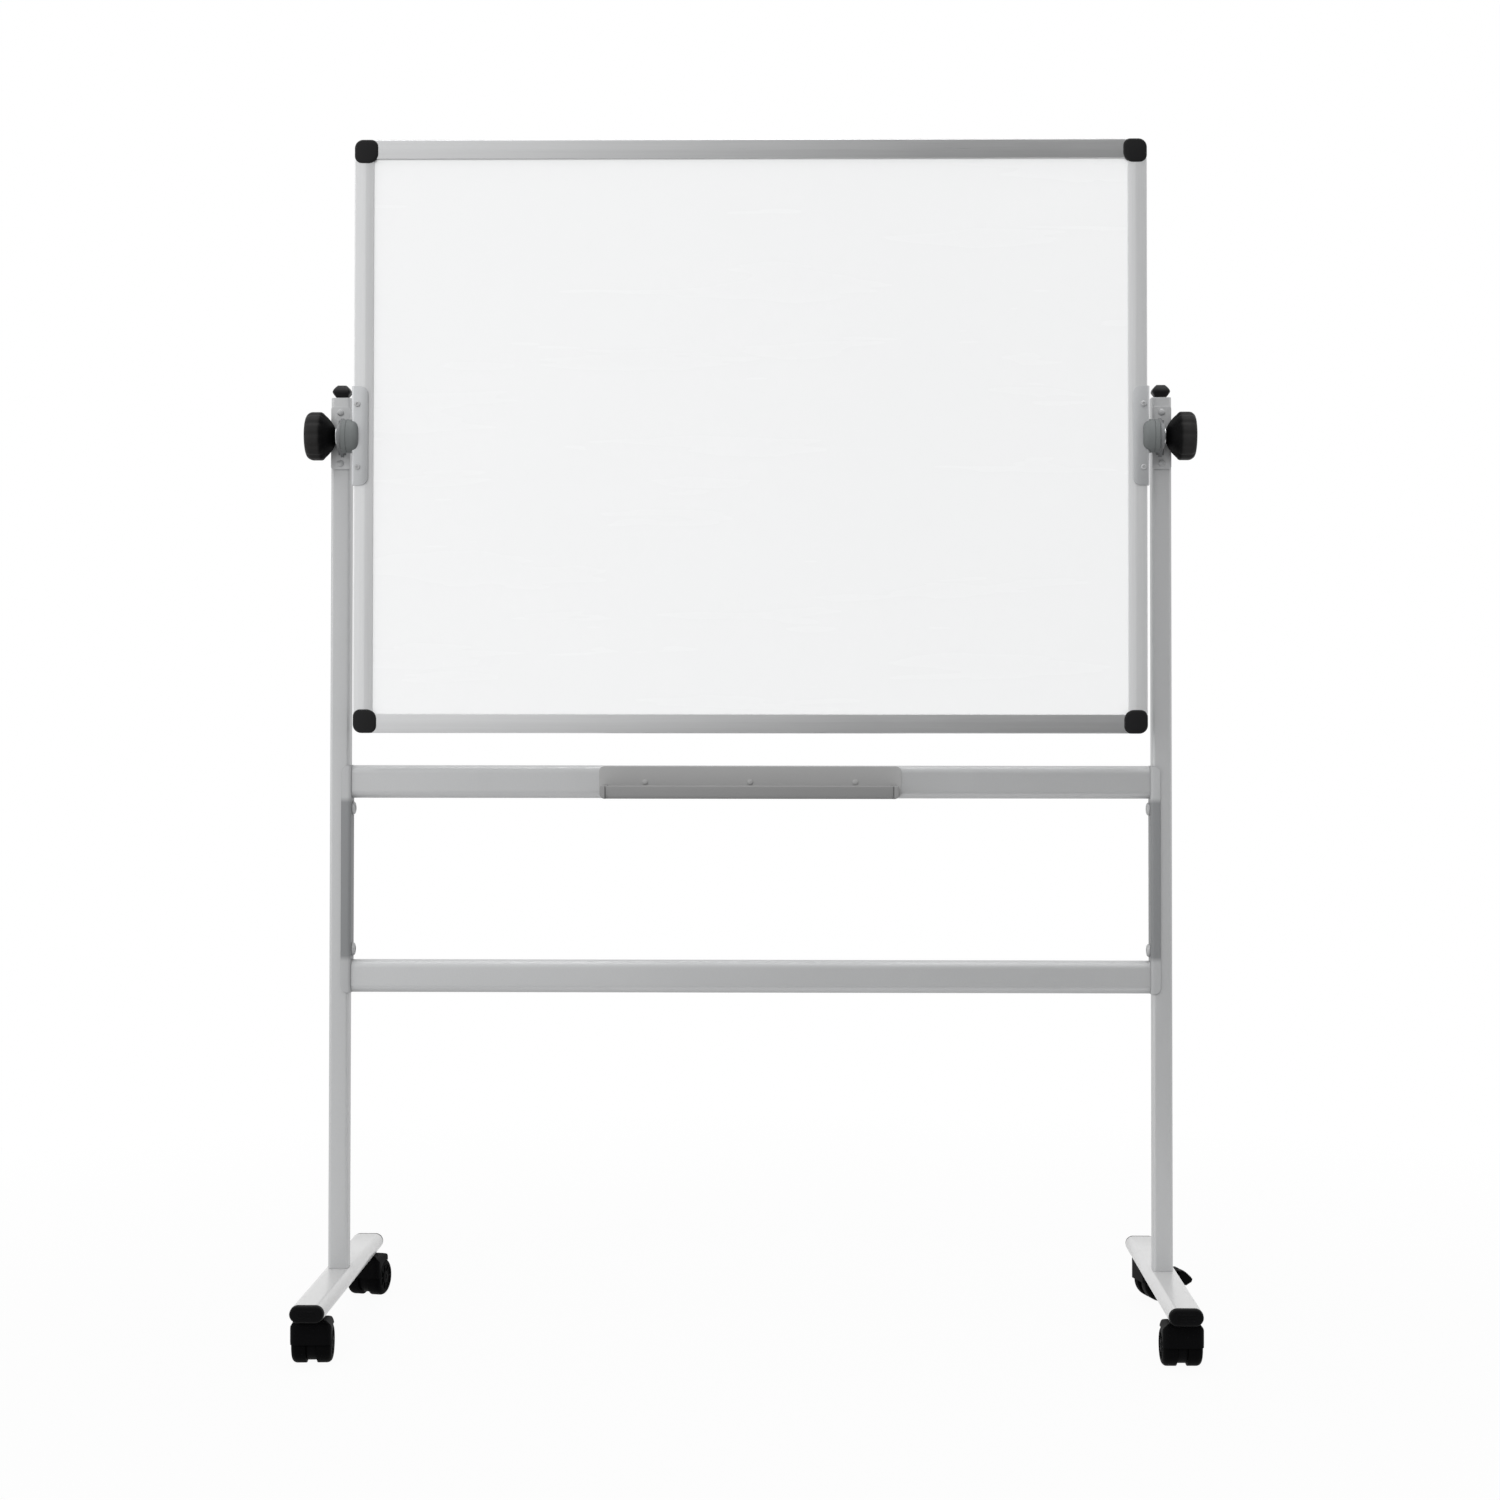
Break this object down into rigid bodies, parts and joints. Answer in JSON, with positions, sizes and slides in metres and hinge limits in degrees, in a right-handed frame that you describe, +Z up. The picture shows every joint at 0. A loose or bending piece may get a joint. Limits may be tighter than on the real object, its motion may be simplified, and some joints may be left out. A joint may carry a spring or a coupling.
{
  "type": "rolling whiteboard",
  "caption": "Double-sided whiteboard that flips between two uprights on a wheeled stand, with clamp knobs, a pen tray and braked swivel casters.",
  "frame": {"origin": "on the floor, midway between the two uprights", "axes": "+X right as seen from the front, front writing face towards -Y, +Z up"},
  "size_m": [1.3778, 0.5888, 1.808],
  "materials": {
    "core_board": "plain brown fibre board",
    "writing_surface": "glossy white dry-wipe lacquer on steel sheet",
    "frame_aluminium": "satin anodised",
    "corner_plastic": "fine-grained black",
    "bracket_paint": "satin grey powder coat",
    "hub_plastic": "moulded grey",
    "nylon": "moulded grey nylon",
    "zinc_steel": "bright zinc plate",
    "brass": "turned",
    "knob_plastic": "fine-grained black",
    "stand_paint": "silver-grey powder coat",
    "foot_paint": "pale silver-grey powder coat",
    "channel_paint": "darker grey powder coat",
    "tray_paint": "darker grey powder coat",
    "tray_cap_plastic": "moulded grey",
    "cap_plastic": "fine-grained black",
    "caster_plastic": "smooth moulded black",
    "wheel_plastic": "black with a softer tread"
  },
  "bodies": {
    "stand": {"left_upright": "stand_paint", "right_upright": "stand_paint", "left_foot": "foot_paint", "right_foot": "foot_paint", "left_side_channel": "channel_paint", "right_side_channel": "channel_paint", "left_pivot_ear": "bracket_paint", "right_pivot_ear": "bracket_paint", "upright_caps": "cap_plastic", "base_inserts": "zinc_steel", "foot_bolts": "zinc_steel", "foot_end_caps": "cap_plastic", "upper_crossbar": "stand_paint", "lower_crossbar": "stand_paint", "channel_bolts": "zinc_steel", "ear_bolts": "zinc_steel", "rivet_nuts": "zinc_steel", "pen_tray": "tray_paint", "tray_end_caps": "tray_cap_plastic", "tray_screws": "zinc_steel", "caster_stems": "zinc_steel", "stem_sockets": "zinc_steel"},
    "board": {"board_core": "core_board", "front_sheet": "writing_surface", "rear_sheet": "writing_surface", "frame_top": "frame_aluminium", "frame_bottom": "frame_aluminium", "frame_left": "frame_aluminium", "frame_right": "frame_aluminium", "corner_caps": "corner_plastic", "left_pivot_bracket": "bracket_paint", "right_pivot_bracket": "bracket_paint", "bracket_screws": "zinc_steel", "pivot_hubs": "hub_plastic", "friction_washers": "nylon", "pivot_studs": "zinc_steel"},
    "left_clamp": {"left_clamp_washer": "zinc_steel"},
    "left_knob": {"left_knob": "knob_plastic", "left_knob_insert": "brass"},
    "right_clamp": {"right_clamp_washer": "zinc_steel"},
    "right_knob": {"right_knob": "knob_plastic", "right_knob_insert": "brass"},
    "front_left_caster": {"front_left_caster_hood": "caster_plastic", "front_left_axle": "zinc_steel"},
    "front_left_wheel_1": {"front_left_wheel_1": "wheel_plastic"},
    "front_left_wheel_2": {"front_left_wheel_2": "wheel_plastic"},
    "front_left_brake": {"front_left_brake_pedal": "caster_plastic"},
    "front_right_caster": {"front_right_caster_hood": "caster_plastic", "front_right_axle": "zinc_steel"},
    "front_right_wheel_1": {"front_right_wheel_1": "wheel_plastic"},
    "front_right_wheel_2": {"front_right_wheel_2": "wheel_plastic"},
    "rear_left_caster": {"rear_left_caster_hood": "caster_plastic", "rear_left_axle": "zinc_steel"},
    "rear_left_wheel_1": {"rear_left_wheel_1": "wheel_plastic"},
    "rear_left_wheel_2": {"rear_left_wheel_2": "wheel_plastic"},
    "rear_right_caster": {"rear_right_caster_hood": "caster_plastic", "rear_right_axle": "zinc_steel"},
    "rear_right_wheel_1": {"rear_right_wheel_1": "wheel_plastic"},
    "rear_right_wheel_2": {"rear_right_wheel_2": "wheel_plastic"},
    "rear_right_brake": {"rear_right_brake_pedal": "caster_plastic"}
  },
  "joints": [
    {"name": "board_flip", "type": "hinge", "parent": "stand", "child": "board", "pos_m": [0, -0.045, 1.358], "axis": [1, 0, 0], "continuous": true},
    {"name": "left_clamp_slide", "type": "slide", "parent": "board", "child": "left_clamp", "axis": [-1, 0, 0], "range_m": [0, 0.003]},
    {"name": "left_knob_turn", "type": "hinge", "parent": "left_clamp", "child": "left_knob", "pos_m": [-0.65, -0.045, 1.358], "axis": [-1, 0, 0], "range_deg": [0, 720]},
    {"name": "right_clamp_slide", "type": "slide", "parent": "board", "child": "right_clamp", "axis": [1, 0, 0], "range_m": [0, 0.003]},
    {"name": "right_knob_turn", "type": "hinge", "parent": "right_clamp", "child": "right_knob", "pos_m": [0.65, -0.045, 1.358], "axis": [1, 0, 0], "range_deg": [0, 720]},
    {"name": "front_left_swivel", "type": "hinge", "parent": "stand", "child": "front_left_caster", "pos_m": [-0.626, -0.244, 0.06], "axis": [0, 0, 1], "continuous": true},
    {"name": "front_left_wheel_1_spin", "type": "hinge", "parent": "front_left_caster", "child": "front_left_wheel_1", "pos_m": [-0.62715, -0.22203, 0.029], "axis": [-0.9986, -0.0523, 0], "continuous": true},
    {"name": "front_left_wheel_2_spin", "type": "hinge", "parent": "front_left_caster", "child": "front_left_wheel_2", "pos_m": [-0.62715, -0.22203, 0.029], "axis": [-0.9986, -0.0523, 0], "continuous": true},
    {"name": "front_left_brake_press", "type": "hinge", "parent": "front_left_caster", "child": "front_left_brake", "pos_m": [-0.62899, -0.18689, 0.04043], "axis": [-0.9986, -0.0523, 0], "range_deg": [0, 14]},
    {"name": "front_right_swivel", "type": "hinge", "parent": "stand", "child": "front_right_caster", "pos_m": [0.626, -0.244, 0.06], "axis": [0, 0, 1], "continuous": true},
    {"name": "front_right_wheel_1_spin", "type": "hinge", "parent": "front_right_caster", "child": "front_right_wheel_1", "pos_m": [0.62562, -0.222, 0.029], "axis": [-0.9998, -0.0175, 0], "continuous": true},
    {"name": "front_right_wheel_2_spin", "type": "hinge", "parent": "front_right_caster", "child": "front_right_wheel_2", "pos_m": [0.62562, -0.222, 0.029], "axis": [-0.9998, -0.0175, 0], "continuous": true},
    {"name": "rear_left_swivel", "type": "hinge", "parent": "stand", "child": "rear_left_caster", "pos_m": [-0.626, 0.244, 0.06], "axis": [0, 0, 1], "continuous": true},
    {"name": "rear_left_wheel_1_spin", "type": "hinge", "parent": "rear_left_caster", "child": "rear_left_wheel_1", "pos_m": [-0.62068, 0.26535, 0.029], "axis": [-0.9703, 0.2419, 0], "continuous": true},
    {"name": "rear_left_wheel_2_spin", "type": "hinge", "parent": "rear_left_caster", "child": "rear_left_wheel_2", "pos_m": [-0.62068, 0.26535, 0.029], "axis": [-0.9703, 0.2419, 0], "continuous": true},
    {"name": "rear_right_swivel", "type": "hinge", "parent": "stand", "child": "rear_right_caster", "pos_m": [0.626, 0.244, 0.06], "axis": [0, 0, 1], "continuous": true},
    {"name": "rear_right_wheel_1_spin", "type": "hinge", "parent": "rear_right_caster", "child": "rear_right_wheel_1", "pos_m": [0.64725, 0.24969, 0.029], "axis": [-0.2588, 0.9659, 0], "continuous": true},
    {"name": "rear_right_wheel_2_spin", "type": "hinge", "parent": "rear_right_caster", "child": "rear_right_wheel_2", "pos_m": [0.64725, 0.24969, 0.029], "axis": [-0.2588, 0.9659, 0], "continuous": true},
    {"name": "rear_right_brake_press", "type": "hinge", "parent": "rear_right_caster", "child": "rear_right_brake", "pos_m": [0.68124, 0.2588, 0.04043], "axis": [-0.2588, 0.9659, 0], "range_deg": [0, 14]}
  ],
  "couplings": [
    {"joint": "left_clamp_slide", "follows": "left_knob_turn", "m_per_rad": 0.00023873},
    {"joint": "right_clamp_slide", "follows": "right_knob_turn", "m_per_rad": 0.00023873}
  ]
}
